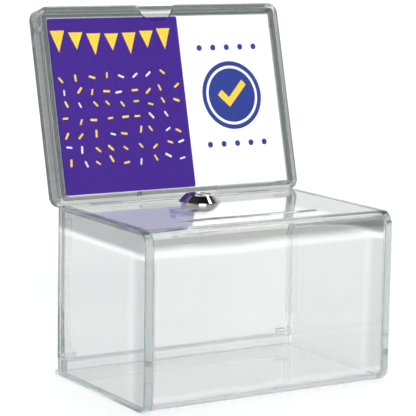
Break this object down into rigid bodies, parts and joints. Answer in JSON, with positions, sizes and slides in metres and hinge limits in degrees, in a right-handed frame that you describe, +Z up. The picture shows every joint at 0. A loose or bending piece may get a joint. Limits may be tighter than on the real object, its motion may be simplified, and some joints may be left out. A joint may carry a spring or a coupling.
{
  "type": "ballot box",
  "caption": "Clear box with a ballot slot and a key lock in its top, a hinged rear door and a leaning header that holds a printed card.",
  "frame": {"origin": "middle of the base face that it stands on, at half the box's width and half its depth", "axes": "+Z up, -Y towards the viewer at the front with the ballot slot nearest, +X to the right seen from the front"},
  "size_m": [0.1624, 0.1359, 0.2084],
  "materials": {
    "clear_sheet": "clear polished sheet with grey green edges",
    "clear_moulding": "clear polished moulding with grey green edges",
    "printed_card": "gloss print, purple and white",
    "chrome": "bright chrome plate",
    "chrome_plug": "bright chrome plate with fine turning marks",
    "steel": "zinc plated steel",
    "brass": "stamped brass"
  },
  "bodies": {
    "box": {"body_wrap": "clear_sheet", "left_side": "clear_sheet", "right_side": "clear_sheet", "sill_rail": "clear_sheet", "left_post": "clear_sheet", "right_post": "clear_sheet", "header_frame": "clear_moulding", "header_window": "clear_moulding", "lock_housing": "chrome", "lock_washer": "steel", "lock_nut": "steel"},
    "door": {"rear_door": "clear_sheet", "hinge_pin_left": "clear_sheet", "hinge_pin_right": "clear_sheet", "door_keeper": "clear_sheet"},
    "card": {"header_card": "printed_card"},
    "lock_barrel": {"lock_plug": "chrome_plug", "wafer_1": "brass", "wafer_2": "brass", "wafer_3": "brass", "wafer_4": "brass", "wafer_springs": "steel", "cam_stop_washer": "steel", "lock_cam": "steel", "cam_screw": "steel"}
  },
  "joints": [
    {"name": "door_hinge", "type": "hinge", "parent": "box", "child": "door", "pos_m": [0, 0.048, 0.012], "axis": [-1, 0, 0], "range_deg": [0, 95]},
    {"name": "card_slide", "type": "slide", "parent": "box", "child": "card", "axis": [0, 0.2504, 0.9681], "range_m": [0, 0.1]},
    {"name": "lock_turn", "type": "hinge", "parent": "box", "child": "lock_barrel", "pos_m": [0, 0.028, 0.095], "axis": [0, 0, -1], "range_deg": [0, 90]}
  ]
}
